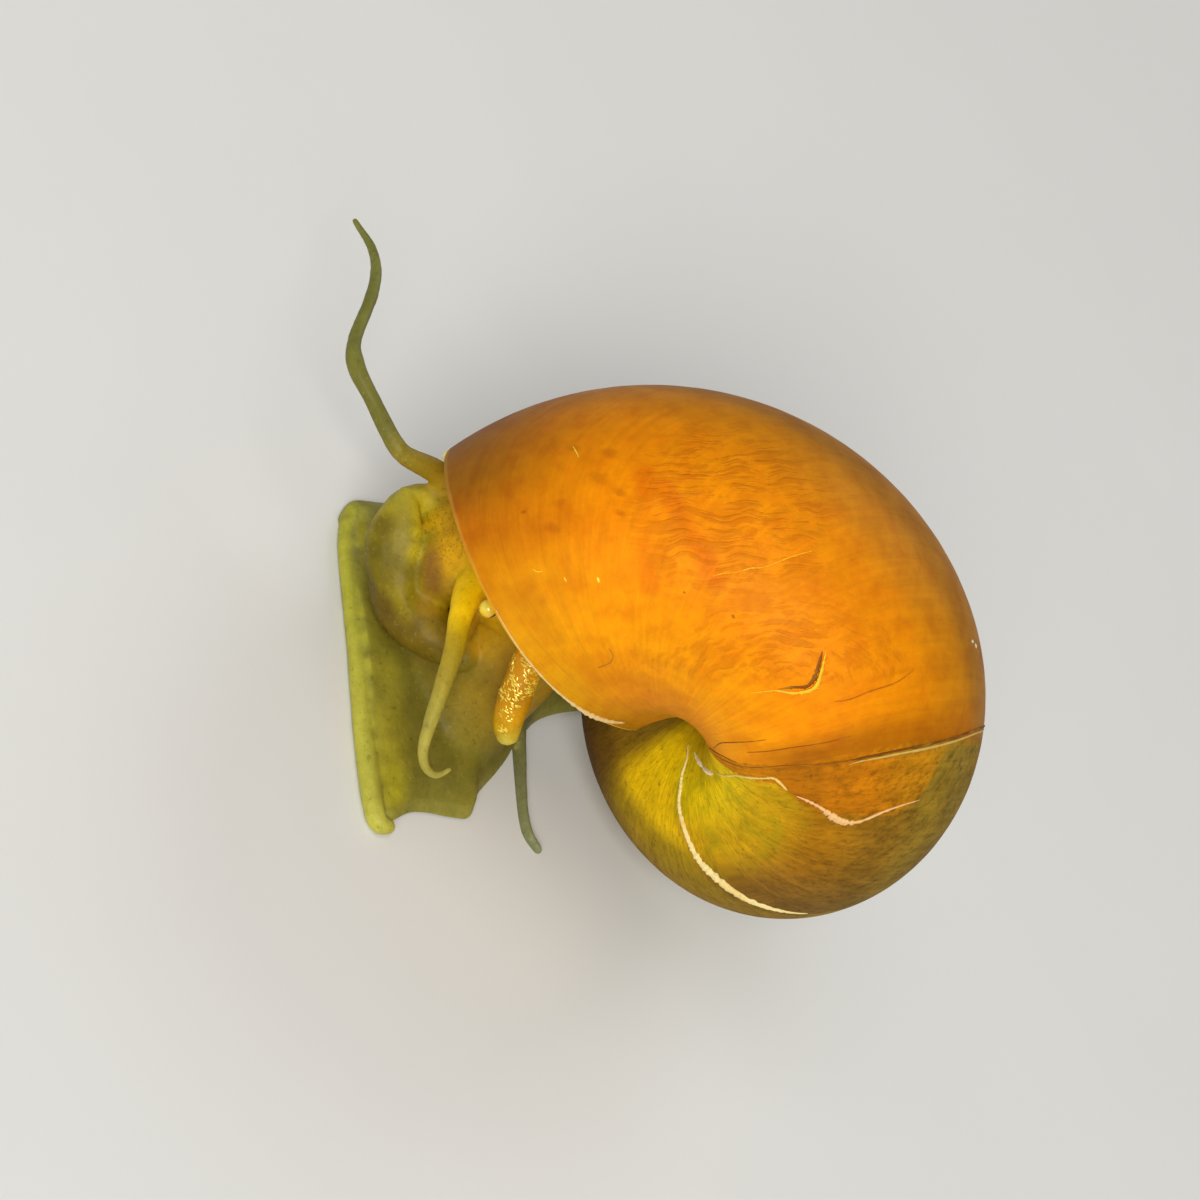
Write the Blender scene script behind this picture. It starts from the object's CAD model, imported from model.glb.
# %% [markdown]
# # An apple snail, life size
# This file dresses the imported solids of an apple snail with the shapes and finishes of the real
# animal: a spiral shell with its old growth marks, one wet skin over all of the flesh, the horny
# lid on the tail and the gold flecks on the breathing tube. The solids are loaded first and are
# the frame that everything is placed in: metres, +Z up, the snail facing -Y on a floor at zero.

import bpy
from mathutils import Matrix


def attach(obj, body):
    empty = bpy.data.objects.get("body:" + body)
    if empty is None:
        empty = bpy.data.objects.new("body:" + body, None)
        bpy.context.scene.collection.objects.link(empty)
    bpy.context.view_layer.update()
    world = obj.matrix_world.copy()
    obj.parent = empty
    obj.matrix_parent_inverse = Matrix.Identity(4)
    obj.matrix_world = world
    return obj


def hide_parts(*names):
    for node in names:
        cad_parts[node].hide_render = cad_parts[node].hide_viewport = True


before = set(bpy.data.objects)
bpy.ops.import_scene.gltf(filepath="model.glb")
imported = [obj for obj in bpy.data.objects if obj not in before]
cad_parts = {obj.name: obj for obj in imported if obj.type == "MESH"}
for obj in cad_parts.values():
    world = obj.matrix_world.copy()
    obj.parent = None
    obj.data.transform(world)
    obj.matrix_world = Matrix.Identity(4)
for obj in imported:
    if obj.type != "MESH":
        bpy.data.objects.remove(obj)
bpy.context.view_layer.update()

import math

import bmesh
import bpy
import numpy as np
from mathutils import Matrix, Vector
from mathutils.kdtree import KDTree
from mathutils.noise import noise

MM = 0.001
TURN = 2.0 * math.pi

# %% [markdown]
# ## The camera
# The snail stands on a floor here, while the one that was drawn from hung among plants, so the
# camera is turned with it. It looks from the front left and above, and it is rolled so that the
# head points left in the picture. Three axes and a place say this more safely than angles would.

# %% Camera
CAMERA_PLACE = Vector((128.64, -184.64, 182.76)) * MM
CAMERA_BACK = Vector((0.4539, -0.6643, 0.5938)).normalized()
CAMERA_UP = Vector((-0.8730, -0.1981, 0.4457))
LENS = 111.0
SENSOR = 36.0

camera_data = bpy.data.cameras.new("camera")
camera_data.lens = LENS
camera_data.sensor_width = SENSOR
camera_data.clip_start = 0.01
camera = bpy.data.objects.new("camera", camera_data)
bpy.context.scene.collection.objects.link(camera)
camera_right = CAMERA_UP.cross(CAMERA_BACK).normalized()
camera_up = CAMERA_BACK.cross(camera_right)
camera.matrix_world = Matrix.Translation(CAMERA_PLACE) @ Matrix(
    (camera_right, camera_up, CAMERA_BACK)).transposed().to_4x4()
bpy.context.scene.camera = camera
print("camera", round(CAMERA_PLACE.length / MM), "mm from the sole")

# %% [markdown]
# ## Helpers for node trees
# Both the shapes and the finishes below are built from node trees. `node` adds one node, sets its
# options and plugs in its inputs, and `result` gives what comes out of it as a Value. Values can be
# added and multiplied as numbers are, and each such sum adds the maths node that works it out.

# %% Values in a node tree
class Value:
    """What comes out of a node, for use in sums and as the input of other nodes."""

    def __init__(self, socket):
        self.socket = socket
        self.tree = socket.id_data

    def __add__(self, other):
        return maths("ADD", self, other)

    def __sub__(self, other):
        return maths("SUBTRACT", self, other)

    def __rsub__(self, other):
        return maths("SUBTRACT", other, self)

    def __mul__(self, other):
        return maths("MULTIPLY", self, other)

    def __truediv__(self, other):
        return maths("DIVIDE", self, other)

    def step(self, low, high):
        """0 at low, 1 at high, and smooth between them."""
        return result(self.tree, "ShaderNodeMapRange", {"Value": self, "From Min": low, "From Max": high},
                      interpolation_type="SMOOTHSTEP")


print("values can be added, multiplied and stepped")

# %% Node helpers
def node(tree, kind, inputs=None, **options):
    made = tree.nodes.new(kind)
    for key, value in options.items():
        setattr(made, key, value)
    for key, value in (inputs or {}).items():
        if isinstance(value, Value):
            tree.links.new(value.socket, made.inputs[key])
        else:
            made.inputs[key].default_value = value
    return made


def result(tree, kind, inputs=None, output=0, **options):
    return Value(node(tree, kind, inputs, **options).outputs[output])


def tree_of(values):
    return next(value.tree for value in values if isinstance(value, Value))


def maths(operation, *values, **options):
    return result(tree_of(values), "ShaderNodeMath", dict(enumerate(values)), operation=operation, **options)


def vector_maths(operation, a, b):
    """A sum on vectors; a dot product or a distance comes out as a number."""
    key = "Scale" if operation == "SCALE" else 1
    output = "Value" if operation in ("DOT_PRODUCT", "DISTANCE") else 0
    return result(tree_of((a, b)), "ShaderNodeVectorMath", {0: a, key: b}, output, operation=operation)


def combined(x, y=0.0, z=0.0):
    return result(x.tree, "ShaderNodeCombineXYZ", {"X": x, "Y": y, "Z": z})


def separated(vector):
    return [Value(socket) for socket in node(vector.tree, "ShaderNodeSeparateXYZ", {0: vector}).outputs]


def grain(vector, size, detail=2.0, roughness=0.5):
    """A noise whose features are about this size in the units of the vector."""
    return result(vector.tree, "ShaderNodeTexNoise", {
        "Vector": vector, "Scale": 1.0 / size, "Detail": detail, "Roughness": roughness})


print("node helpers ready")

# %% [markdown]
# ## The shell
# A snail's shell is a tube that turns round an axis and grows by the same share in each turn. The
# ring that sweeps it out is an oval, and it is drawn along the turn a little at its top and bottom,
# as a real lip is. It could be modelled by hand, but the rule is short: a grid whose one direction
# is the turn and whose other is the way round the ring, with each point moved by the rule.
# The turn is 0 at the lip and negative towards the apex. The inputs are the sizes of the real shell.

# %% Sizes of the shell
SHELL_SIZES = {
    "Whorl growth": 1.943,
    "Ring out": 12.9 * MM,
    "Ring down": 28.2 * MM,
    "Ring wide": 13.6 * MM,
    "Ring tall": 15.5 * MM,
    "Ring lean": math.radians(19.5),
    "Lead down": math.radians(13.3),
    "Lead out": math.radians(3.3),
    "Navel": 0.9 * MM,
    "Relief": 0.05 * MM,
}
APEX = Vector((-2.8, 30.7, 19.0)) * MM
SHELL_PLACE = (Matrix.Translation(APEX) @ Matrix.Rotation(math.radians(120.0), 4, "Z")
               @ Matrix.Rotation(math.radians(88.6), 4, "Y") @ Matrix.Rotation(math.radians(83.1), 4, "Z"))
RING_SIDES = 112
RINGS_PER_HALF_TURN = (150, 110, 80, 56, 40, 28, 20, 16, 12)
# Each half turn of the tube runs on into its neighbours, this far and this much narrower.
TUCK_TURNS = 0.02
TUCK = 0.5 * MM
RELIEF_STRETCH = 70.0
# The hollow mouth: how deep it is in turns, its wall inside and at the lip, and how far the cut
# runs on past the lip.
RECESS_TURNS = 0.15
WALL = 0.72 * MM
LIP_WALL = 0.42 * MM
PAST_LIP = 0.03
HOLLOW_RINGS = 60
print("shell sizes:", len(SHELL_SIZES))

# %% Start and end of a tree for shapes
def start_tree(name, inputs):
    """A geometry tree with these inputs: a default number each, or the kind of the socket."""
    tree = bpy.data.node_groups.new(name, "GeometryNodeTree")
    tree.interface.new_socket("Geometry", in_out="OUTPUT", socket_type="NodeSocketGeometry")
    for key, value in inputs.items():
        kind = value if isinstance(value, str) else "Int" if isinstance(value, int) else "Float"
        made = tree.interface.new_socket(key, in_out="INPUT", socket_type="NodeSocket" + kind)
        if value != kind:
            made.default_value = value
    given = node(tree, "NodeGroupInput").outputs
    return tree, {key: Value(given[key]) for key in inputs}


def end_tree(geometry, **paint):
    """Realize the instances, set the material and hand the geometry over."""
    tree = geometry.tree
    real = result(tree, "GeometryNodeRealizeInstances", {"Geometry": geometry})
    painted = result(tree, "GeometryNodeSetMaterial", {"Geometry": real, **paint})
    node(tree, "NodeGroupOutput", {"Geometry": painted})
    return tree


print("trees can be started and ended")

# %% The spiral tube as a node tree
def spiral_tree():
    tree, given = start_tree("spiral_tube", {
        "Start": -0.5, "End": 0.0, "Swell": 0.0, "End swell": 0.0, "Tuck start": 0.0, "Tuck end": 0.0,
        **SHELL_SIZES, "Rings": 100})
    rings = given["Rings"] + 3.0
    grid = result(tree, "GeometryNodeMeshGrid", {
        "Size X": 1.0, "Size Y": 1.0, "Vertices X": rings, "Vertices Y": RING_SIDES + 1})
    along, across, _ = separated(result(tree, "GeometryNodeInputPosition"))
    # The first and last ring lie one step past the length asked for, where it may be tucked in.
    share = ((along + 0.5) * (rings - 1.0) - 1.0) / given["Rings"]
    inside = maths("MINIMUM", maths("MAXIMUM", share, 0.0), 1.0)
    before = maths("LESS_THAN", share, -1e-4) * given["Tuck start"]
    after = maths("GREATER_THAN", share, 1.0001) * given["Tuck end"]
    turn = given["Start"] + (given["End"] - given["Start"]) * inside
    angle = (across + 0.5) * TURN
    cos_a = maths("COSINE", angle)
    sin_a = maths("SINE", angle)
    size = maths("POWER", given["Whorl growth"], turn)
    # Low, uneven growth relief that follows the turn, the same on every length of the tube.
    relief = (grain(combined(cos_a, sin_a, turn * RELIEF_STRETCH), 1.0, 3.0) - 0.75) * given["Relief"]
    swell = given["Swell"] + (relief + given["End swell"] * inside)
    swell = swell - (after + before) * TUCK * size
    tall = given["Ring tall"] * size + swell
    wide_cos = (given["Ring wide"] * size + swell) * cos_a
    tall_sin = tall * sin_a
    lean_cos = maths("COSINE", given["Ring lean"])
    lean_sin = maths("SINE", given["Ring lean"])
    rise = wide_cos * lean_sin + tall_sin * lean_cos
    inner = given["Navel"] * size + maths("MAXIMUM", given["Swell"] * -1.0, 0.0)
    out = maths("MAXIMUM", given["Ring out"] * size + (wide_cos * lean_cos - tall_sin * lean_sin), inner)
    lead = given["Lead down"] * rise / tall + given["Lead out"] * cos_a
    around = ((turn + (after - before) * TUCK_TURNS) * TURN + lead) * -1.0
    point = combined(out * maths("COSINE", around), out * maths("SINE", around),
                     rise - given["Ring down"] * size)
    stored = result(tree, "GeometryNodeStoreNamedAttribute",
                    {"Geometry": grid, "Name": "place", "Value": combined(cos_a, sin_a, turn)},
                    data_type="FLOAT_VECTOR", domain="POINT")
    moved = result(tree, "GeometryNodeSetPosition", {"Geometry": stored, "Position": point})
    turned = result(tree, "GeometryNodeTransform", {
        "Geometry": moved, "Translation": SHELL_PLACE.to_translation(), "Rotation": SHELL_PLACE.to_euler()})
    return end_tree(result(tree, "GeometryNodeMergeByDistance", {"Geometry": turned, "Distance": 1e-7}))


tube_tree = spiral_tree()
print("spiral tree with", len(tube_tree.nodes), "nodes")

# %% Plain meshes from trees
def set_inputs(modifier, values):
    """Set a tree's inputs by the identifiers of their sockets."""
    known = {item.name: item.identifier for item in modifier.node_group.interface.items_tree
             if item.in_out == "INPUT"}
    for name, value in values.items():
        modifier[known[name]] = value


def new_object(name, data):
    made = bpy.data.objects.new(name, data)
    bpy.context.scene.collection.objects.link(made)
    return made


def to_plain_mesh(thing, name):
    """Replace an object and its modifiers by the mesh that they make."""
    graph = bpy.context.evaluated_depsgraph_get()
    graph.update()
    mesh = bpy.data.meshes.new_from_object(thing.evaluated_get(graph))
    mesh.name = name
    bpy.data.objects.remove(thing, do_unlink=True)
    return new_object(name, mesh)


def read(items, key, kind=np.float32, width=3):
    """One value of every item as an array, a row for each."""
    flat = np.empty(len(items) * width, kind)
    items.foreach_get(key, flat)
    return flat.reshape(-1, width)


print("mesh helpers ready")

# %% Lengths of the tube
def close_ends(mesh):
    """Cap both ends of a tube and point its faces outwards."""
    bm = bmesh.new()
    bm.from_mesh(mesh)
    rims = [edge for edge in bm.edges if len(edge.link_faces) == 1]
    caps = bmesh.ops.holes_fill(bm, edges=rims, sides=0)["faces"]
    bmesh.ops.triangulate(bm, faces=caps)
    bmesh.ops.recalc_face_normals(bm, faces=bm.faces)
    bm.to_mesh(mesh)
    bm.free()


def tube_length(name, start, end, rings, **values):
    made = new_object(name, bpy.data.meshes.new(name))
    modifier = made.modifiers.new("spiral", "NODES")
    modifier.node_group = tube_tree
    set_inputs(modifier, {"Start": start, "End": end, "Rings": rings,
                          **{key.replace("_", " "): value for key, value in values.items()}})
    made = to_plain_mesh(made, name)
    close_ends(made.data)
    return made


def half_turn(index, swell=0.0):
    """One half turn back from the lip; each runs on, narrower, into its neighbours."""
    return tube_length("half_turn", -0.5 * (index + 1), -0.5 * index, RINGS_PER_HALF_TURN[index],
                       Swell=swell, Tuck_start=float(index < len(RINGS_PER_HALF_TURN) - 1),
                       Tuck_end=float(index > 0))


lengths = [half_turn(index) for index in range(len(RINGS_PER_HALF_TURN))]
sample_points = np.concatenate([read(length.data.vertices, "co") for length in lengths])
sample_places = np.concatenate([read(length.data.attributes["place"].data, "vector") for length in lengths])
print("shell samples:", len(sample_points))

# %% Hollow the mouth and join the whorls
def change(thing, kind, **options):
    """Apply one modifier with these options."""
    modifier = thing.modifiers.new(kind.lower(), kind)
    for key, value in options.items():
        setattr(modifier, key, value)
    return to_plain_mesh(thing, thing.name)


def merge(target, others, operation):
    """One Boolean on a collection of closed meshes, applied, with the others removed."""
    pieces = bpy.data.collections.new("pieces")
    for other in others:
        pieces.objects.link(other)
    made = change(target, "BOOLEAN", operation=operation, solver="MANIFOLD", operand_type="COLLECTION",
                  collection=pieces)
    for other in others:
        bpy.data.objects.remove(other, do_unlink=True)
    bpy.data.collections.remove(pieces)
    return made


hollow = tube_length("hollow", -RECESS_TURNS, PAST_LIP, HOLLOW_RINGS, Swell=-WALL,
                     End_swell=WALL - LIP_WALL, Relief=0.0)
shell = merge(lengths[0], [hollow], "DIFFERENCE")
shell = merge(shell, lengths[1:], "UNION")
shell.name = shell.data.name = "spiral_shell"
print("shell faces:", len(shell.data.polygons))

# %% [markdown]
# ## Where each point of the shell belongs
# The marks on a shell follow its growth, so the finish has to know the turn and the way round the
# ring at each point. The Boolean made new points, so every point takes these two from the nearest
# point of the tubes that it was cut from. Points far from all of them are on the inner wall.

# %% Growth place of every shell point
INNER_WALL = 0.25 * MM
SHARP = math.radians(38.0)


def store(mesh, name, kind, values):
    """Write one value for each point as an attribute."""
    if name in mesh.attributes:
        mesh.attributes.remove(mesh.attributes[name])
    key = {"FLOAT_COLOR": "color", "FLOAT_VECTOR": "vector", "FLOAT": "value"}[kind]
    mesh.attributes.new(name, kind, "POINT").data.foreach_set(key, np.ravel(values).astype(np.float32))


def lookup(points):
    """A tree that finds the nearest of the points."""
    made = KDTree(len(points))
    for index, point in enumerate(points):
        made.insert(point, index)
    made.balance()
    return made


samples = lookup(sample_points)
found = [samples.find(point) for point in read(shell.data.vertices, "co")]
inner = [float(distance > INNER_WALL and sample_places[index][2] > -0.5) for _, index, distance in found]
store(shell.data, "place", "FLOAT_VECTOR", sample_places[[index for _, index, _ in found]])
store(shell.data, "inner", "FLOAT", inner)
for name in [a.name for a in shell.data.attributes if a.domain == "CORNER" and not a.is_required]:
    shell.data.attributes.remove(shell.data.attributes[name])
shell.data.shade_smooth()
shell.data.set_sharp_from_angle(angle=SHARP)
print("inner points:", int(sum(inner)))

# %% [markdown]
# ## Old growth marks
# The shell stopped growing twice, and each stop left a raised, pale edge. Further out a few flakes
# of the thin outer layer have lifted. These are forms of their own, so they are ribbons laid on the
# shell by the same rule, from a few named places each, with an uneven crest.

# %% Closed tubes from rings of points
def smooth_rows(rows, steps):
    """Rows of numbers with others put between them on a smooth curve through them all."""
    out = []
    last = len(rows) - 1
    for k in range(last):
        p0, p1, p2, p3 = (rows[min(max(k + d, 0), last)] for d in (-1, 0, 1, 2))
        for s in range(steps):
            t = s / steps
            out.append(tuple(
                0.5 * (2 * b + (c - a) * t + (2 * a - 5 * b + 4 * c - d) * t * t
                       + (3 * b - a - 3 * c + d) * t ** 3)
                for a, b, c, d in zip(p0, p1, p2, p3)))
    out.append(tuple(rows[-1]))
    return out


def skin_rings(bm, rings, first=None, last=None):
    """Join rings of points into a closed tube; each end is a fan round a point."""
    rows = [[bm.verts.new(point) for point in ring] for ring in rings]
    for low, high in zip(rows, rows[1:]):
        for i in range(len(low)):
            j = (i + 1) % len(low)
            bm.faces.new((low[i], low[j], high[j], high[i]))
    for row, tip in ((rows[0], first), (rows[-1], last)):
        hub = bm.verts.new(tip or sum((v.co for v in row), Vector()) / len(row))
        for i in range(len(row)):
            bm.faces.new((row[i], row[(i + 1) % len(row)], hub))


def ringed(name, *tubes):
    """An object of closed tubes, each given as its rings and, if it has them, its two tips."""
    bm = bmesh.new()
    for tube in tubes:
        skin_rings(bm, *tube)
    bmesh.ops.recalc_face_normals(bm, faces=bm.faces)
    mesh = bpy.data.meshes.new(name)
    bm.to_mesh(mesh)
    bm.free()
    return new_object(name, mesh)


print("tubes can be made from rings")

# %% Ribbons on the shell
def on_shell(turn, angle, lift=0.0):
    """A point on the shell's surface, from its turn and the way round the ring in degrees."""
    sizes = SHELL_SIZES
    size = sizes["Whorl growth"] ** turn
    wide = sizes["Ring wide"] * size + lift
    tall = sizes["Ring tall"] * size + lift
    a = math.radians(angle)
    lean = sizes["Ring lean"]
    across = wide * math.cos(a) * math.cos(lean) - tall * math.sin(a) * math.sin(lean)
    rise = wide * math.cos(a) * math.sin(lean) + tall * math.sin(a) * math.cos(lean)
    out = max(sizes["Ring out"] * size + across, sizes["Navel"] * size)
    around = -(TURN * turn + sizes["Lead down"] * rise / tall + sizes["Lead out"] * math.cos(a))
    return SHELL_PLACE @ Vector((out * math.cos(around), out * math.sin(around),
                                 rise - sizes["Ring down"] * size))


RIDGE = [(-1.0, -0.4), (-0.8, 0.25), (-0.4, 0.85), (0.0, 1.0), (0.4, 0.85), (0.8, 0.25), (1.0, -0.4)]
STEP = [(-1.0, -0.3), (-0.6, 0.3), (-0.1, 0.8), (0.25, 1.0), (0.38, 0.7), (0.42, -0.5)]
# Each mark: its profile, its colour, and places of (turn, degrees, half width, height), in mm.
MARKS = {
    "old_lip": (RIDGE, (0.86, 0.70, 0.30), [
        (-0.640, 214, 0.05, 0.03), (-0.611, 218, 0.10, 0.08), (-0.602, 225, 0.12, 0.12),
        (-0.593, 230, 0.17, 0.14), (-0.586, 237, 0.16, 0.15), (-0.572, 244, 0.24, 0.18),
        (-0.560, 252, 0.26, 0.20), (-0.550, 260, 0.38, 0.24), (-0.538, 267, 0.46, 0.26),
        (-0.528, 276, 0.46, 0.26), (-0.519, 286, 0.36, 0.22), (-0.514, 296, 0.18, 0.12),
        (-0.511, 305, 0.05, 0.03)]),
    "growth_stop_low": (STEP, (0.34, 0.105, 0.002), [
        (-0.352, 222, 0.03, 0.02), (-0.340, 235, 0.05, 0.03), (-0.325, 257, 0.06, 0.04),
        (-0.327, 274, 0.07, 0.05), (-0.330, 285, 0.07, 0.05), (-0.3325, 291, 0.03, 0.02)]),
    "growth_stop": (STEP, (0.17, 0.055, 0.004), [
        (-0.329, 281, 0.03, 0.02), (-0.332, 290, 0.12, 0.08), (-0.340, 304, 0.14, 0.09),
        (-0.355, 322, 0.14, 0.09), (-0.378, 346, 0.13, 0.08), (-0.404, 368, 0.12, 0.06),
        (-0.430, 390, 0.06, 0.02)]),
    "growth_stop_edge": (STEP, (0.62, 0.44, 0.10), [
        (-0.333, 284, 0.04, 0.02), (-0.3342, 290, 0.10, 0.05), (-0.3424, 304, 0.15, 0.06),
        (-0.3574, 322, 0.16, 0.07), (-0.3804, 346, 0.12, 0.05), (-0.4064, 368, 0.06, 0.02)]),
    "lifted_flake": (STEP, (0.96, 0.56, 0.02), [
        (-0.247, 257, 0.04, 0.02), (-0.252, 262, 0.08, 0.05), (-0.256, 266, 0.12, 0.08),
        (-0.264, 271, 0.20, 0.13), (-0.2685, 276, 0.26, 0.20), (-0.2690, 279.5, 0.30, 0.26),
        (-0.264, 283, 0.24, 0.24), (-0.259, 286, 0.14, 0.14), (-0.255, 288.5, 0.04, 0.04)]),
    "gap_by_flake": (STEP, (0.24, 0.075, 0.003), [
        (-0.256, 267, 0.04, 0.02), (-0.2605, 272, 0.14, 0.05), (-0.2655, 276.5, 0.16, 0.07),
        (-0.2640, 280, 0.26, 0.09), (-0.2590, 283.5, 0.20, 0.07), (-0.254, 287, 0.06, 0.02)]),
    "flake_by_navel": (STEP, (0.86, 0.62, 0.16), [
        (-0.417, 222, 0.05, 0.02), (-0.380, 230, 0.14, 0.07), (-0.360, 236, 0.12, 0.07),
        (-0.350, 243, 0.20, 0.11), (-0.344, 249, 0.14, 0.09), (-0.340, 254, 0.20, 0.12),
        (-0.344, 257, 0.26, 0.16), (-0.352, 260, 0.10, 0.04)]),
    "pale_flake": (STEP, (0.88, 0.52, 0.22), [
        (-0.357, 264, 0.06, 0.03), (-0.361, 269, 0.20, 0.10), (-0.367, 274, 0.22, 0.12),
        (-0.373, 278, 0.46, 0.18), (-0.380, 283, 0.54, 0.20), (-0.383, 289, 0.26, 0.14),
        (-0.380, 298, 0.20, 0.12), (-0.381, 306, 0.14, 0.09), (-0.385, 314, 0.05, 0.02)]),
    "navel_crust": (RIDGE, (1.0, 0.86, 0.54), [
        (-0.590, 213, 0.05, 0.03), (-0.566, 214, 0.14, 0.09), (-0.534, 215, 0.20, 0.14),
        (-0.512, 216, 0.10, 0.08), (-0.490, 217.5, 0.20, 0.13), (-0.466, 219, 0.22, 0.13),
        (-0.440, 221, 0.06, 0.03)]),
    "fine_edge": (STEP, (0.48, 0.14, 0.004), [
        (-0.286, 284, 0.03, 0.02), (-0.290, 289, 0.05, 0.04), (-0.294, 297, 0.06, 0.05),
        (-0.301, 307, 0.05, 0.04), (-0.304, 315, 0.03, 0.02)]),
    "fine_edge_low": (STEP, (0.34, 0.10, 0.004), [
        (-0.311, 244, 0.03, 0.02), (-0.309, 250, 0.05, 0.04), (-0.307, 263, 0.06, 0.05),
        (-0.310, 276, 0.05, 0.04), (-0.313, 286, 0.03, 0.02)]),
    "navel_line": (STEP, (0.22, 0.075, 0.004), [
        (-0.330, 222, 0.03, 0.02), (-0.306, 229, 0.06, 0.04), (-0.298, 238, 0.07, 0.04),
        (-0.296, 246, 0.05, 0.03), (-0.295, 254, 0.03, 0.02)]),
    "navel_line_low": (STEP, (0.24, 0.09, 0.004), [
        (-0.352, 216, 0.04, 0.02), (-0.345, 219, 0.10, 0.05), (-0.336, 228, 0.10, 0.05),
        (-0.334, 237, 0.04, 0.02)]),
    "lip_crust": (RIDGE, (0.70, 0.50, 0.20), [
        (-0.0022, 250, 0.03, 0.02), (-0.0018, 242, 0.05, 0.04), (-0.0016, 234, 0.07, 0.05),
        (-0.0016, 226, 0.08, 0.06), (-0.0016, 218, 0.10, 0.07), (-0.0018, 210, 0.14, 0.10),
        (-0.0024, 205, 0.20, 0.13), (-0.0080, 200, 0.18, 0.12), (-0.0180, 197, 0.12, 0.07),
        (-0.0300, 195, 0.05, 0.03)]),
    "pale_fold": (STEP, (0.96, 0.40, 0.004), [
        (-0.1685, 275.5, 0.02, 0.02), (-0.1750, 279, 0.08, 0.05), (-0.1810, 281.5, 0.05, 0.04),
        (-0.1880, 286, 0.10, 0.06), (-0.1950, 289.5, 0.06, 0.04), (-0.2050, 298, 0.09, 0.05),
        (-0.2140, 305, 0.03, 0.02)]),
    "chalk_spot_high": (RIDGE, (0.72, 0.70, 0.58), [
        (-0.3335, 353.6, 0.03, 0.02), (-0.3345, 354.8, 0.14, 0.05), (-0.3360, 356, 0.03, 0.02)]),
    "chalk_spot_low": (RIDGE, (0.72, 0.70, 0.58), [
        (-0.3385, 356.6, 0.03, 0.02), (-0.3400, 357.6, 0.18, 0.05), (-0.3420, 359, 0.03, 0.02)]),
    "scale_high": (RIDGE, (0.98, 0.74, 0.05), [
        (-0.0730, 301.8, 0.02, 0.02), (-0.0748, 299.8, 0.05, 0.04), (-0.0765, 297.6, 0.02, 0.02)]),
    "scale_middle": (RIDGE, (0.98, 0.74, 0.05), [
        (-0.0648, 257.7, 0.02, 0.02), (-0.0655, 257.0, 0.07, 0.05), (-0.0660, 256.3, 0.02, 0.02)]),
    "scale_inner": (RIDGE, (0.98, 0.80, 0.08), [
        (-0.0908, 259.3, 0.03, 0.02), (-0.0915, 258.5, 0.11, 0.07), (-0.0922, 257.6, 0.03, 0.02)]),
    "scale_by_lip": (RIDGE, (0.98, 0.66, 0.04), [
        (-0.0420, 260.2, 0.02, 0.02), (-0.0450, 259.4, 0.04, 0.03), (-0.0490, 259.4, 0.02, 0.02)]),
    "hair_scratch": (STEP, (0.40, 0.11, 0.003), [
        (-0.099, 235.0, 0.03, 0.02), (-0.103, 232.5, 0.06, 0.03), (-0.099, 229.5, 0.06, 0.03),
        (-0.090, 227.5, 0.06, 0.03), (-0.079, 226, 0.04, 0.02)]),
}
RIBBON_STEPS = 14
# How uneven a ribbon is in width and in height, and how fast that changes from step to step.
RAGGED, RAGGED_STEP = 0.7, 0.37
CREST, CREST_STEP = 0.6, 0.53
THINNEST, LOWEST = 0.02, 0.01


def ribbon(profile, rows, seed):
    """The rings of one mark: its profile, laid uneven across the way that the mark runs."""
    rings = []
    rows = smooth_rows(rows, RIBBON_STEPS)
    points = [on_shell(turn, angle) for turn, angle, _, _ in rows]
    for k, (turn, angle, wide, high) in enumerate(rows):
        along = (points[min(k + 1, len(rows) - 1)] - points[max(k - 1, 0)]).normalized()
        normal = (on_shell(turn + 0.002, angle) - points[k]).cross(on_shell(turn, angle + 1) - points[k])
        outward = on_shell(turn, angle, MM) - points[k]
        normal = normal.normalized() * math.copysign(1.0, normal.dot(outward))
        side = normal.cross(along)
        ragged = 1.0 + RAGGED * noise(Vector((k * RAGGED_STEP, seed, 0.0)))
        crest = 1.0 + CREST * noise(Vector((k * CREST_STEP, seed, 7.0)))
        rings.append([points[k] + side * (x * max(wide, THINNEST) * ragged * MM)
                      + normal * (z * max(high, LOWEST) * (crest if z > 0 else 1.0) * MM)
                      for x, z in profile])
    return rings


ribbons = [(ribbon(profile, rows, seed),) for seed, (profile, _, rows) in enumerate(MARKS.values())]
marks = ringed("growth_marks", *ribbons)
store(marks.data, "tone", "FLOAT_COLOR", [
    (*lime, 1.0) for (rings,), (profile, lime, _) in zip(ribbons, MARKS.values())
    for _ in range(len(rings) * len(profile) + 2)])
marks.data.shade_smooth()
print("growth marks:", len(MARKS), "ribbons,", len(marks.data.polygons), "faces")

# %% [markdown]
# ## The flesh
# All the soft parts are one wet skin on the real animal. They could be sculpted, but here each part
# is a closed tube through a few named sections, as wide and tall as the real part is there. The
# tubes overlap, a voxel remesh fuses them into one skin with soft joins, and a little smoothing
# rounds what is left of the seams. Rows are (x, y, z, half width, half height) in millimetres.

# %% Sections of the flesh
UP = Vector((0, 0, 1))
SIDEWAYS = Vector((1, 0, 0))
FORTH = Vector((0, 1, 0))
VIEW_RIGHT = Vector((0.18, 0.72, 0.67))
VIEW_UP = Vector((-0.87, -0.20, 0.45))
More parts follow.
